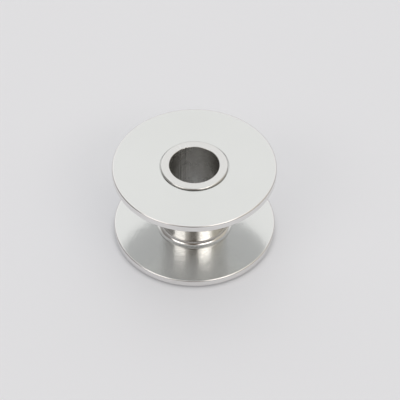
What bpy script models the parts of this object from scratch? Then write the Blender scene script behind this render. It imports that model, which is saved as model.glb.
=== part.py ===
"""A metal sewing-machine bobbin, built from three turned pieces.

A tubular core carries the thread. Its barrel ends in a coved foot at each end, and each foot is the
shoulder that a flange sits against. The core's necks pass through the holes of the two flanges, and
the ends are rolled out over the flanges' outer faces as raised end collars, which lock the flanges on.

The axis is +Z. The origin is on the axis, in the plane of the lower end collar, where the bobbin rests.
Run with: blender --background --python part.py
"""

import math

import bmesh
import bpy

MM = 0.001

# Driving dimensions.
FLANGE_DIAMETER = 20.3 * MM
FLANGE_THICKNESS = 0.97 * MM
FLANGE_EDGE_RADIUS = 0.22 * MM
FLANGE_SPAN = 10.87 * MM  # from one flange's outer face to the other's
BORE_DIAMETER = 6.16 * MM
BARREL_DIAMETER = 8.2 * MM
COVE_RADIUS = 0.7 * MM  # the fillet between the barrel and each foot
FOOT_EDGE = 0.05 * MM  # the short straight edge below each cove
NECK_DIAMETER = 7.4 * MM
COLLAR_DIAMETER = 8.36 * MM
COLLAR_HEIGHT = 0.25 * MM  # how far an end collar stands proud of its flange
COLLAR_EDGE_RADIUS = 0.2 * MM
BORE_EDGE_BREAK = 0.1 * MM
SEAT_GAP = 0.02 * MM  # drawn between seated faces, so that the solids stay apart

# Places that follow from them.
OVERALL_HEIGHT = FLANGE_SPAN + 2 * COLLAR_HEIGHT
MID_HEIGHT = OVERALL_HEIGHT / 2
LOWER_FLANGE_Z = COLLAR_HEIGHT + FLANGE_THICKNESS / 2
UPPER_FLANGE_Z = OVERALL_HEIGHT - LOWER_FLANGE_Z

# Facets: segments round the axis, and steps in a quarter turn of an edge.
SEGMENTS = 96
RIM_STEPS = 4
COVE_STEPS = 4
COLLAR_STEPS = 3

SHARP_ANGLE = math.radians(35)
WELD_DISTANCE = 1e-7


def clear_scene():
    for obj in list(bpy.data.objects):
        bpy.data.objects.remove(obj, do_unlink=True)


def metal(name, colour, roughness):
    material = bpy.data.materials.new(name)
    material.use_nodes = True
    shader = material.node_tree.nodes["Principled BSDF"]
    shader.inputs["Base Color"].default_value = (*colour, 1.0)
    shader.inputs["Metallic"].default_value = 1.0
    shader.inputs["Roughness"].default_value = roughness
    return material


def arc(centre_r, centre_z, radius, start_deg, end_deg, steps):
    """Points (r, z) on an arc. 0 degrees points away from the axis and 90 degrees points up."""
    angles = [math.radians(start_deg + (end_deg - start_deg) * i / steps) for i in range(steps + 1)]
    return [(centre_r + radius * math.cos(a), centre_z + radius * math.sin(a)) for a in angles]


def mirrored(points):
    """The same profile points reflected through z = 0, in reverse order so that the outline carries on."""
    return [(r, -z) for r, z in reversed(points)]


def flange_section():
    """Half section of a flange, centred on z = 0: a flat disc with a round hole and rounded rim edges."""
    hole = NECK_DIAMETER / 2 + SEAT_GAP
    rim = FLANGE_DIAMETER / 2
    half = FLANGE_THICKNESS / 2
    edge = arc(rim - FLANGE_EDGE_RADIUS, half - FLANGE_EDGE_RADIUS, FLANGE_EDGE_RADIUS, 0, 90, RIM_STEPS)
    upper = [*edge, (hole, half)]
    return mirrored(upper) + upper


def core_section():
    """Half section of the core, centred on z = 0, from the barrel's middle round to the bore."""
    bore = BORE_DIAMETER / 2
    barrel = BARREL_DIAMETER / 2
    foot = barrel + COVE_RADIUS
    neck = NECK_DIAMETER / 2
    collar = COLLAR_DIAMETER / 2
    end = OVERALL_HEIGHT / 2
    flange_outer = FLANGE_SPAN / 2
    shoulder = flange_outer - FLANGE_THICKNESS - SEAT_GAP
    cove_z = shoulder - FOOT_EDGE - COVE_RADIUS
    cove = arc(foot, cove_z, COVE_RADIUS, 180, 90, COVE_STEPS)
    collar_edge = arc(
        collar - COLLAR_EDGE_RADIUS,
        end - COLLAR_EDGE_RADIUS,
        COLLAR_EDGE_RADIUS,
        0,
        90,
        COLLAR_STEPS,
    )
    upper = [
        *cove,
        (foot, shoulder),
        (neck, shoulder),
        (neck, flange_outer + SEAT_GAP),
        (collar, flange_outer + SEAT_GAP),
        *collar_edge,
        (bore + BORE_EDGE_BREAK, end),
        (bore, end - BORE_EDGE_BREAK),
    ]
    return mirrored(upper) + upper


def turned_mesh(name, section):
    """Spins a closed half section once round the Z axis."""
    mesh = bpy.data.meshes.new(name)
    work = bmesh.new()
    points = [work.verts.new((r, 0.0, z)) for r, z in section]
    edges = [work.edges.new((points[i - 1], points[i])) for i in range(len(points))]
    bmesh.ops.spin(
        work,
        geom=points + edges,
        cent=(0, 0, 0),
        axis=(0, 0, 1),
        angle=2 * math.pi,
        steps=SEGMENTS,
        use_merge=True,
    )
    bmesh.ops.remove_doubles(work, verts=work.verts[:], dist=WELD_DISTANCE)
    bmesh.ops.recalc_face_normals(work, faces=work.faces[:])
    work.to_mesh(mesh)
    work.free()
    mesh.shade_smooth()
    mesh.set_sharp_from_angle(angle=SHARP_ANGLE)
    return mesh


def place(name, mesh, material, height, parent):
    obj = bpy.data.objects.new(name, mesh)
    if not mesh.materials:
        mesh.materials.append(material)
    obj.location = (0, 0, height)
    obj.parent = parent
    bpy.context.scene.collection.objects.link(obj)
    return obj


def build():
    clear_scene()
    bobbin = bpy.data.objects.new("bobbin", None)
    bpy.context.scene.collection.objects.link(bobbin)
    satin = metal("satin_aluminium", (0.72, 0.72, 0.71), 0.28)
    polished = metal("polished_aluminium", (0.74, 0.73, 0.71), 0.12)
    flange = turned_mesh("flange", flange_section())
    core = turned_mesh("core", core_section())
    place("lower_flange", flange, satin, LOWER_FLANGE_Z, bobbin)
    place("upper_flange", flange, satin, UPPER_FLANGE_Z, bobbin)
    place("core_tube", core, polished, MID_HEIGHT, bobbin)


build()
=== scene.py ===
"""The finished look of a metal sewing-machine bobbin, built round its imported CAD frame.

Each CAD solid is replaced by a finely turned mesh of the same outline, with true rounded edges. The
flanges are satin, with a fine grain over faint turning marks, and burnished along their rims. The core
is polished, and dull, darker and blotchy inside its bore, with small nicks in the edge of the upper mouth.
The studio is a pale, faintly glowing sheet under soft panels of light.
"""

import math
import random

import bmesh
import bpy
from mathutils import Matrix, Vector


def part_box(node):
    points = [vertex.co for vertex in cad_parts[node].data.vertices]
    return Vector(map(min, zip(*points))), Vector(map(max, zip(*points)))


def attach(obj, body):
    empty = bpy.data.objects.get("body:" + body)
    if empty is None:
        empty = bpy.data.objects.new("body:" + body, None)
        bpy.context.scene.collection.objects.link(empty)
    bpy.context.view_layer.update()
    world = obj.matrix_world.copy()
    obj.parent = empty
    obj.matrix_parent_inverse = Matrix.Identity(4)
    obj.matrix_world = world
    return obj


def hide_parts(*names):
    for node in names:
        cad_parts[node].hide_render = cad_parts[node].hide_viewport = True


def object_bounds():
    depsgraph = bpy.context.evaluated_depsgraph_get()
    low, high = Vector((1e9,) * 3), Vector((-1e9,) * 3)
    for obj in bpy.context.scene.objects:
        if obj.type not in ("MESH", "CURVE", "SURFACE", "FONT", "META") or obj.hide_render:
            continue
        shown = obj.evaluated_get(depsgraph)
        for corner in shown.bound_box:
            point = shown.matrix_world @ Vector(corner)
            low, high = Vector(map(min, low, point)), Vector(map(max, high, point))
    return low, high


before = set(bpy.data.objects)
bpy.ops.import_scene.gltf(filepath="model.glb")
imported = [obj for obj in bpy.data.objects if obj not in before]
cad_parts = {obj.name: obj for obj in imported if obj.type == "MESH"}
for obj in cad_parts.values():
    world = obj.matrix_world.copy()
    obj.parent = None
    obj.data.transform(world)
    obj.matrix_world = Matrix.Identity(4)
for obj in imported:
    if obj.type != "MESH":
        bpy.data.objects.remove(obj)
cad_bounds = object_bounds()

MM = 0.001

# ---------------------------------------------------------------------------------------------------
# Sizes, read from the frame where it holds them

LOWER_FLANGE_LOW, LOWER_FLANGE_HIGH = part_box("lower_flange")
UPPER_FLANGE_LOW, UPPER_FLANGE_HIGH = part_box("upper_flange")
CORE_LOW, CORE_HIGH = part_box("core_tube")

HEIGHT = CORE_HIGH.z - CORE_LOW.z
MID_Z = (CORE_HIGH.z + CORE_LOW.z) / 2
FLANGE_RADIUS = (UPPER_FLANGE_HIGH.x - UPPER_FLANGE_LOW.x) / 2
FLANGE_THICKNESS = UPPER_FLANGE_HIGH.z - UPPER_FLANGE_LOW.z
COLLAR_HEIGHT = CORE_HIGH.z - UPPER_FLANGE_HIGH.z
FOOT_RADIUS = (CORE_HIGH.x - CORE_LOW.x) / 2

# Sizes that the boxes don't hold
COVE_RADIUS = 0.7 * MM
BORE_RADIUS = 3.08 * MM
NECK_RADIUS = 3.7 * MM
COLLAR_RADIUS = 4.18 * MM
RIM_EDGE_RADIUS = 0.2 * MM
COLLAR_EDGE_RADIUS = 0.2 * MM
BORE_EDGE_RADIUS = 0.1 * MM
FOOT_EDGE = 0.05 * MM
SEAT_GAP = 0.02 * MM
GROOVE_WIDTH = 0.1 * MM  # how far the sunk ring in a flange's face shows past the collar rolled down on it
GROOVE_DEPTH = 0.05 * MM

SEGMENTS = 384
EDGE_STEPS = 12
SHARP_ANGLE = math.radians(40)


# ---------------------------------------------------------------------------------------------------
# Turned meshes

def arc(centre_r, centre_z, radius, start_deg, end_deg):
    """Points (r, z) on an arc. 0 degrees points away from the axis and 90 degrees points up."""
    turn = end_deg - start_deg
    angles = [math.radians(start_deg + turn * i / EDGE_STEPS) for i in range(EDGE_STEPS + 1)]
    return [(centre_r + radius * math.cos(a), centre_z + radius * math.sin(a)) for a in angles]


def mirrored(points):
    """The same profile points reflected through z = 0, in reverse order so that the outline carries on."""
    return [(r, -z) for r, z in reversed(points)]


def flange_section():
    """Half section of a flange, centred on z = 0: a flat disc with a round hole and rounded rim edges."""
    hole = NECK_RADIUS + SEAT_GAP
    half = FLANGE_THICKNESS / 2
    edge = arc(FLANGE_RADIUS - RIM_EDGE_RADIUS, half - RIM_EDGE_RADIUS, RIM_EDGE_RADIUS, 0, 90)
    groove = COLLAR_RADIUS + GROOVE_WIDTH
    sunk = half - GROOVE_DEPTH
    upper = [*edge, (groove, half), (groove - GROOVE_DEPTH / 2, sunk), (hole, sunk)]
    return mirrored(upper) + upper


def core_section():
    """Half section of the core, centred on z = 0, from the barrel's middle round to the bore."""
    end = HEIGHT / 2
    flange_outer = end - COLLAR_HEIGHT
    shoulder = flange_outer - FLANGE_THICKNESS - SEAT_GAP
    cove = arc(FOOT_RADIUS, shoulder - FOOT_EDGE - COVE_RADIUS, COVE_RADIUS, 180, 90)
    collar = arc(COLLAR_RADIUS - COLLAR_EDGE_RADIUS, end - COLLAR_EDGE_RADIUS, COLLAR_EDGE_RADIUS, 0, 90)
    mouth = arc(BORE_RADIUS + BORE_EDGE_RADIUS, end - BORE_EDGE_RADIUS, BORE_EDGE_RADIUS, 90, 180)
    upper = [
        *cove,
        (FOOT_RADIUS, shoulder),
        (NECK_RADIUS, shoulder),
        (NECK_RADIUS, flange_outer + SEAT_GAP / 2),
        (COLLAR_RADIUS, flange_outer + SEAT_GAP / 2),
        *collar,
        *mouth,
    ]
    return mirrored(upper) + upper


def turned(name, section, height, material):
    """Turns a closed half section round the Z axis, and puts it at its height on the axis."""
    count = len(section)
    turns = [2 * math.pi * s / SEGMENTS for s in range(SEGMENTS)]
    points = [(r * math.cos(a), r * math.sin(a), z + height) for a in turns for r, z in section]
    faces = []
    for s in range(SEGMENTS):
        here, there = s * count, (s + 1) % SEGMENTS * count
        for p in range(count):
            q = (p + 1) % count
            faces.append((here + p, there + p, there + q, here + q))
    mesh = bpy.data.meshes.new(name)
    mesh.from_pydata(points, [], faces)
    mesh.shade_smooth()
    mesh.set_sharp_from_angle(angle=SHARP_ANGLE)
    mesh.materials.append(material)
    obj = bpy.data.objects.new(name, mesh)
    bpy.context.scene.collection.objects.link(obj)
    weighting = obj.modifiers.new("flat_faces_lead", "WEIGHTED_NORMAL")
    weighting.keep_sharp = True
    return obj


# ---------------------------------------------------------------------------------------------------
# Materials

class Nodes:
    """A short way to write a node tree: each call adds a node, and returns the output asked for."""

    def __init__(self, tree):
        self.tree = tree

    def add(self, kind, inputs=None, **settings):
        node = self.tree.nodes.new(kind)
        for key, value in settings.items():
            setattr(node, key, value)
        for key, value in (inputs or {}).items():
            if hasattr(value, "is_output"):
                self.link(value, node, key)
            else:
                node.inputs[key].default_value = value
        return node

    def link(self, source, node, key):
        self.tree.links.new(source, node.inputs[key])

    def math(self, operation, *values):
        return self.add("ShaderNodeMath", dict(enumerate(values)), operation=operation).outputs[0]

    def vector(self, operation, *values):
        return self.add("ShaderNodeVectorMath", dict(enumerate(values)), operation=operation).outputs[0]

    def scaled(self, vector, scale):
        return self.add("ShaderNodeVectorMath", {0: vector, "Scale": scale}, operation="SCALE").outputs[0]

    def smooth(self, value, low, high):
        """0 below low and 1 above high (or the other way round), with a smooth change between them."""
        settings = {"Value": value, "From Min": low, "From Max": high}
        return self.add("ShaderNodeMapRange", settings, interpolation_type="SMOOTHSTEP").outputs[0]

    def ramp(self, value, low, high):
        """A value from 0 to 1, rescaled to run from low to high."""
        settings = {"Value": value, "To Min": low, "To Max": high}
        return self.add("ShaderNodeMapRange", settings).outputs[0]

    def noise(self, where, scale, detail, roughness=0.5):
        """Noise in space. Scale is about how many lumps there are to a unit of length."""
        settings = {"Vector": where, "Scale": scale, "Detail": detail, "Roughness": roughness}
        return self.add("ShaderNodeTexNoise", settings).outputs["Fac"]

    def line_noise(self, value, scale):
        """Noise along one measure only: rings where the measure is a radius or a height."""
        settings = {"W": value, "Scale": scale, "Detail": 3.0, "Roughness": 0.6}
        return self.add("ShaderNodeTexNoise", settings, noise_dimensions="1D").outputs["Fac"]

    def mix(self, factor, first, second):
        settings = {"Factor": factor, "A": first, "B": second}
        return self.add("ShaderNodeMix", settings).outputs[0]

    def mix_colours(self, factor, first, second):
        """The two are plain colours, or outputs that carry one. Sockets 6 and 7 are the node's colours."""
        a, b = [value if hasattr(value, "is_output") else (*value, 1) for value in (first, second)]
        return self.add("ShaderNodeMix", {0: factor, 6: a, 7: b}, data_type="RGBA").outputs[2]

    def mix_vectors(self, factor, first, second):
        """Sockets 4 and 5 are the node's vectors."""
        return self.add("ShaderNodeMix", {0: factor, 4: first, 5: second}, data_type="VECTOR").outputs[1]

    def bump(self, height, distance, normal=None):
        """Surface relief from a height of 0 to 1. The distance is the real depth, in metres."""
        settings = {"Height": height, "Distance": distance, "Strength": 1.0}
        if normal is not None:
            settings["Normal"] = normal
        return self.add("ShaderNodeBump", settings).outputs["Normal"]


QUARTER_TURN = 0.25  # sets the spread of highlights square to the turning


class TurnedMetal:
    """The start of a turned metal's node tree.

    Its places are in millimetres, and its brushing follows the turning. Spread is how far highlights
    are drawn out across the brushing: 0 is not at all.
    """

    def __init__(self, name, spread):
        self.material = bpy.data.materials.new(name)
        self.material.use_nodes = True
        self.nodes = nodes = Nodes(self.material.node_tree)
        self.shader = self.material.node_tree.nodes["Principled BSDF"]
        self.shader.inputs["Metallic"].default_value = 1.0
        self.shader.inputs["Anisotropic"].default_value = spread
        self.shader.inputs["Anisotropic Rotation"].default_value = QUARTER_TURN
        tangent = nodes.add("ShaderNodeTangent", direction_type="RADIAL", axis="Z").outputs[0]
        nodes.link(tangent, self.shader, "Tangent")
        place = nodes.add("ShaderNodeTexCoord").outputs["Object"]
        self.place = nodes.scaled(place, 1 / MM)
        split = nodes.add("ShaderNodeSeparateXYZ", {0: self.place}).outputs
        self.height = split["Z"]
        squared_x = nodes.math("POWER", split["X"], 2.0)
        squared_y = nodes.math("POWER", split["Y"], 2.0)
        self.radius = nodes.math("SQRT", nodes.math("ADD", squared_x, squared_y))
        self.along = nodes.math("ADD", self.radius, self.height)

    def tool_marks(self, per_turn, per_mm):
        """Noise drawn out round the axis into short arcs, as a cutting tool leaves."""
        nodes = self.nodes
        flat = nodes.vector("MULTIPLY", self.place, (1, 1, 0))
        round_axis = nodes.scaled(nodes.vector("NORMALIZE", flat), per_turn / (2 * math.pi))
        steps = nodes.math("MULTIPLY", self.along, per_mm)
        step = nodes.add("ShaderNodeCombineXYZ", {"Z": steps}).outputs[0]
        return nodes.noise(nodes.vector("ADD", round_axis, step), scale=1.0, detail=1.0)

    def finish(self, colour, roughness, normal):
        self.nodes.link(colour, self.shader, "Base Color")
        self.nodes.link(roughness, self.shader, "Roughness")
        self.nodes.link(normal, self.shader, "Normal")
        return self.material


# In each pair of colours or roughnesses, one goes with the low end of the metal's noise, and the other
# with the high end.
SATIN_SPREAD = 0.88
SATIN_COLOURS = ((0.748, 0.755, 0.742), (0.763, 0.77, 0.757))
SATIN_ROUGHNESS = (0.155, 0.175)
GRAIN_DEPTH = 0.005 * MM
MARKS_DEPTH = 0.007 * MM
MARKS_ROUGHNESS = 0.06  # the most that a tool mark adds or takes away
RIM_SPREAD = 0.3
RIM_COLOUR = (0.8, 0.79, 0.78)
RIM_ROUGHNESS = 0.1
BURNISH_START = 0.3  # millimetres in from the rim
BURNISH_FULL = 0.15


def satin_metal():
    """Satin metal with a fine even grain, faint marks left by the tool, and a burnished rim."""
    metal = TurnedMetal("satin_metal", SATIN_SPREAD)
    nodes = metal.nodes
    rim_edge = FLANGE_RADIUS / MM
    rim = nodes.smooth(metal.radius, rim_edge - BURNISH_START, rim_edge - BURNISH_FULL)
    clouds = nodes.noise(metal.place, scale=0.35, detail=3.0)
    grain = nodes.noise(metal.place, scale=5.0, detail=1.0)
    marks = metal.tool_marks(per_turn=60, per_mm=4.5)
    colour = nodes.mix_colours(rim, nodes.mix_colours(clouds, *SATIN_COLOURS), RIM_COLOUR)
    cloudy = nodes.ramp(clouds, *SATIN_ROUGHNESS)
    marked = nodes.math("ADD", cloudy, nodes.ramp(marks, -MARKS_ROUGHNESS, MARKS_ROUGHNESS))
    roughness = nodes.mix(rim, marked, RIM_ROUGHNESS)
    nodes.link(nodes.mix(rim, SATIN_SPREAD, RIM_SPREAD), metal.shader, "Anisotropic")
    normal = nodes.bump(grain, GRAIN_DEPTH)
    normal = nodes.bump(marks, MARKS_DEPTH, normal)
    return metal.finish(colour, roughness, normal)


POLISHED_SPREAD = 0.3
POLISHED_COLOURS = ((0.735, 0.73, 0.715), (0.755, 0.75, 0.735))
POLISHED_ROUGHNESS = (0.12, 0.16)
RINGS_DEPTH = 0.0008 * MM


def polished_metal():
    """Bright turned metal with fine rings."""
    metal = TurnedMetal("polished_metal", POLISHED_SPREAD)
    nodes = metal.nodes
    clouds = nodes.noise(metal.place, scale=0.8, detail=3.0)
    rings = nodes.line_noise(metal.along, scale=9.0)
    colour = nodes.mix_colours(clouds, *POLISHED_COLOURS)
    roughness = nodes.ramp(clouds, *POLISHED_ROUGHNESS)
    normal = nodes.bump(rings, RINGS_DEPTH)
    return metal.finish(colour, roughness, normal)


BORE_SPREAD = 0.8
# both colours are darker than the polished outside, and the noise blotches between them
BORE_COLOURS = ((0.59, 0.58, 0.555), (0.705, 0.695, 0.665))
BORE_ROUGHNESS = (0.32, 0.2)
BLOTCH_EDGE = (0.35, 0.7)  # the part of the blotches' noise over which the colour changes
BORE_MARKS_DEPTH = 0.002 * MM


def bore_metal():
    """Dull metal, darker and blotchy, as inside a bore that was never polished."""
    metal = TurnedMetal("bore_metal", BORE_SPREAD)
    nodes = metal.nodes
    blotches = nodes.noise(metal.place, scale=0.9, detail=4.0, roughness=0.6)
    marks = nodes.line_noise(metal.height, scale=5.0)
    colour = nodes.mix_colours(nodes.smooth(blotches, *BLOTCH_EDGE), *BORE_COLOURS)
    roughness = nodes.ramp(blotches, *BORE_ROUGHNESS)
    normal = nodes.bump(marks, BORE_MARKS_DEPTH)
    return metal.finish(colour, roughness, normal)


# ---------------------------------------------------------------------------------------------------
# The object

def line_bore(core):
    """Gives the faces of the bore their own, duller metal."""
    core.data.materials.append(bore_metal())
    for face in core.data.polygons:
        if math.hypot(face.center.x, face.center.y) < BORE_RADIUS:
            face.material_index = 1


NICK_SEED = 7
NICK_COUNT = 14
NICK_MIDDLE = 118  # degrees anticlockwise from +X: the back left of the mouth
NICK_SPREAD = 16  # degrees to either side of that
NICK_WIDTHS = (0.8, 2.6)  # degrees from a nick's middle to its end
NICK_DEPTH = 0.11 * MM  # the deepest that a nick can be
NICK_SHARES = (0.3, 1.0)  # of that depth
NICK_REACH = 1.5 * BORE_EDGE_RADIUS  # from the bore's wall outwards, and from its lip down


def nick_mouth(core):
    """Small random dents in the edge of the upper bore mouth, as a winder spindle leaves.

    Each goes half as far down as it goes outwards.
    """
    rng = random.Random(NICK_SEED)
    nicks = []
    for _ in range(NICK_COUNT):
        middle = NICK_MIDDLE + rng.uniform(-NICK_SPREAD, NICK_SPREAD)
        nicks.append((middle, rng.uniform(*NICK_WIDTHS), rng.uniform(*NICK_SHARES) * NICK_DEPTH))
    mouth = BORE_RADIUS + NICK_REACH
    lip = CORE_HIGH.z - NICK_REACH
    for vertex in core.data.vertices:
        place = vertex.co
        if math.hypot(place.x, place.y) > mouth or place.z < lip:
            continue
        angle = math.degrees(math.atan2(place.y, place.x))
        depth = max(size * max(0.0, 1 - abs(angle - middle) / width) for middle, width, size in nicks)
        outward = Vector((place.x, place.y, 0)).normalized()
        vertex.co = place + depth * outward - Vector((0, 0, depth / 2))


def build_object():
    satin = satin_metal()
    lower_z = (LOWER_FLANGE_LOW.z + LOWER_FLANGE_HIGH.z) / 2
    upper_z = (UPPER_FLANGE_LOW.z + UPPER_FLANGE_HIGH.z) / 2
    lower = turned("lower_flange_turned", flange_section(), lower_z, satin)
    upper = turned("upper_flange_turned", flange_section(), upper_z, satin)
    core = turned("core_turned", core_section(), MID_Z, polished_metal())
    line_bore(core)
    nick_mouth(core)
    pieces = [
        (lower, "lower_flange", "flange"),
        (upper, "upper_flange", "flange"),
        (core, "core_tube", "core"),
    ]
    for piece, node, slot in pieces:
        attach(piece, "root")
        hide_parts(node)


# ---------------------------------------------------------------------------------------------------
# Studio. Azimuths are in degrees from the camera's side, and grow to the camera's right.

FLOOR_RADIUS = 3.0  # metres, so that its edge is never near
FLOOR_SEGMENTS = 96
FLOOR_COLOUR = (0.515, 0.515, 0.53)
FLOOR_ROUGHNESS = 0.35
FLOOR_SHINE = 0.3
GLOW_COLOUR = (0.98, 0.99, 1.03)
GLOW_STRENGTH = 0.29
PAINTED_SHADOW_EDGE = (9.0 * MM, 10.8 * MM)  # the glow fades out under the bobbin and just past its rim: a painted contact shadow
BORE_GLOW_EDGE = (BORE_RADIUS, BORE_RADIUS - MM)  # but again where the floor shows through the bore
BACKDROP_COLOUR = (0.745, 0.745, 0.75)  # what a camera would see past the floor's edge

PANELS = [
    # centre, half width, side softness, low edge, high edge, end softness, colour
    (0, 180, 1, 61, 91, 10, (0.83, 0.85, 0.855)),  # overhead
    (176, 30, 44, 21, 51, 10, (0.835, 0.86, 0.875)),  # behind
    (37, 8, 26, 36, 46, 8, (3.2, 3.08, 2.95)),  # key at the right
    (-53, 17, 5, 34, 46, 8, (1.4, 1.35, 1.31)),  # key at the left
    (-46, 12, 26, 30, 50, 8, (0.62, 0.6, 0.58)),  # soft light round it
    (88, 21, 14, 19, 91, 8, (0.48, 0.46, 0.4)),  # right side
    (-108, 52, 15, 5, 58, 8, (0.13, 0.14, 0.15)),  # left side
    (0, 180, 1, -5, 22, 10, (0.15, 0.155, 0.16)),  # low light all round
    (0, 180, 1, -5, 62, 5, (0.13, 0.105, 0.085)),  # the dark room
]


def floor_material():
    """A pale sheet. Its faint glow stands in for the very wide, soft light of a studio tent."""
    material = bpy.data.materials.new("floor")
    material.use_nodes = True
    shader = material.node_tree.nodes["Principled BSDF"]
    shader.inputs["Base Color"].default_value = (*FLOOR_COLOUR, 1)
    shader.inputs["Roughness"].default_value = FLOOR_ROUGHNESS
    shader.inputs["Specular IOR Level"].default_value = FLOOR_SHINE
    shader.inputs["Emission Color"].default_value = (*GLOW_COLOUR, 1)
    nodes = Nodes(material.node_tree)
    place = nodes.add("ShaderNodeTexCoord").outputs["Object"]
    away = nodes.add("ShaderNodeVectorMath", {0: place}, operation="LENGTH").outputs["Value"]
    # the glow is left out under the bobbin as a painted shadow, and shows again through the bore
    lit = nodes.math("MAXIMUM", nodes.smooth(away, *PAINTED_SHADOW_EDGE), nodes.smooth(away, *BORE_GLOW_EDGE))
    nodes.link(nodes.math("MULTIPLY", lit, GLOW_STRENGTH), shader, "Emission Strength")
    return material


def build_floor():
    work = bmesh.new()
    bmesh.ops.create_circle(work, cap_ends=True, radius=FLOOR_RADIUS, segments=FLOOR_SEGMENTS)
    mesh = bpy.data.meshes.new("floor")
    work.to_mesh(mesh)
    work.free()
    mesh.materials.append(floor_material())
    floor = bpy.data.objects.new("floor", mesh)
    floor.location.z = cad_bounds[0].z
    bpy.context.scene.collection.objects.link(floor)


def panel(nodes, azimuth, elevation, centre, half_width, side_soft, low, high, end_soft, colour):
    """The light of one panel: its colour inside its edges, and nothing past them. Angles are in degrees."""
    offset = nodes.math("WRAP", nodes.math("SUBTRACT", azimuth, centre), 180.0, -180.0)
    across = nodes.smooth(nodes.math("ABSOLUTE", offset), half_width + side_soft, half_width)
    above = nodes.smooth(elevation, low - end_soft, low)
    below = nodes.smooth(elevation, high + end_soft, high)
    shape = nodes.math("MULTIPLY", nodes.math("MULTIPLY", across, above), below)
    return nodes.scaled(colour, shape)


def build_world():
    """The panels light the bobbin and show in its reflections, but the camera sees a plain backdrop."""
    world = bpy.data.worlds.new("studio")
    world.use_nodes = True
    bpy.context.scene.world = world
    tree = world.node_tree
    tree.nodes.clear()
    nodes = Nodes(tree)
    direction = nodes.add("ShaderNodeTexCoord").outputs["Generated"]
    split = nodes.add("ShaderNodeSeparateXYZ", {0: direction}).outputs
    away = nodes.math("MULTIPLY", split["Y"], -1.0)
    azimuth = nodes.math("DEGREES", nodes.math("ARCTAN2", split["X"], away))
    elevation = nodes.math("DEGREES", nodes.math("ARCSINE", split["Z"]))
    total = (0.0, 0.0, 0.0)
    for values in PANELS:
        light = panel(nodes, azimuth, elevation, *values)
        total = nodes.vector("ADD", total, light)
    camera_ray = nodes.add("ShaderNodeLightPath").outputs["Is Camera Ray"]
    seen = nodes.mix_vectors(camera_ray, total, BACKDROP_COLOUR)
    background = nodes.add("ShaderNodeBackground", {"Color": seen})
    output = nodes.add("ShaderNodeOutputWorld")
    nodes.link(background.outputs[0], output, "Surface")


CAMERA_ELEVATION = math.radians(46.44)
CAMERA_DISTANCE = 250 * MM
CAMERA_LENS = 180.7  # millimetres
CAMERA_CLIP = 10 * MM
AIM_HEIGHT = 6.31 * MM
PAN = math.radians(0.159)  # moves the bobbin left in the picture, and the tilt moves it up
TILT = math.radians(0.197)


def build_camera():
    """Looks down at the bobbin from the front through a long lens, as a product photographer would."""
    aim = Vector((0, 0, cad_bounds[0].z + AIM_HEIGHT))
    back = Vector((0, -math.cos(CAMERA_ELEVATION), math.sin(CAMERA_ELEVATION)))
    right = Vector((1, 0, 0))
    up = back.cross(right)
    forward = -back + math.tan(PAN) * right - math.tan(TILT) * up
    camera = bpy.data.cameras.new("camera")
    camera.lens = CAMERA_LENS
    camera.clip_start = CAMERA_CLIP
    obj = bpy.data.objects.new("camera", camera)
    obj.location = aim + CAMERA_DISTANCE * back
    obj.rotation_euler = forward.to_track_quat("-Z", "Y").to_euler()
    bpy.context.scene.collection.objects.link(obj)
    bpy.context.scene.camera = obj


build_object()
build_floor()
build_world()
build_camera()
bpy.context.scene.view_settings.view_transform = "Standard"
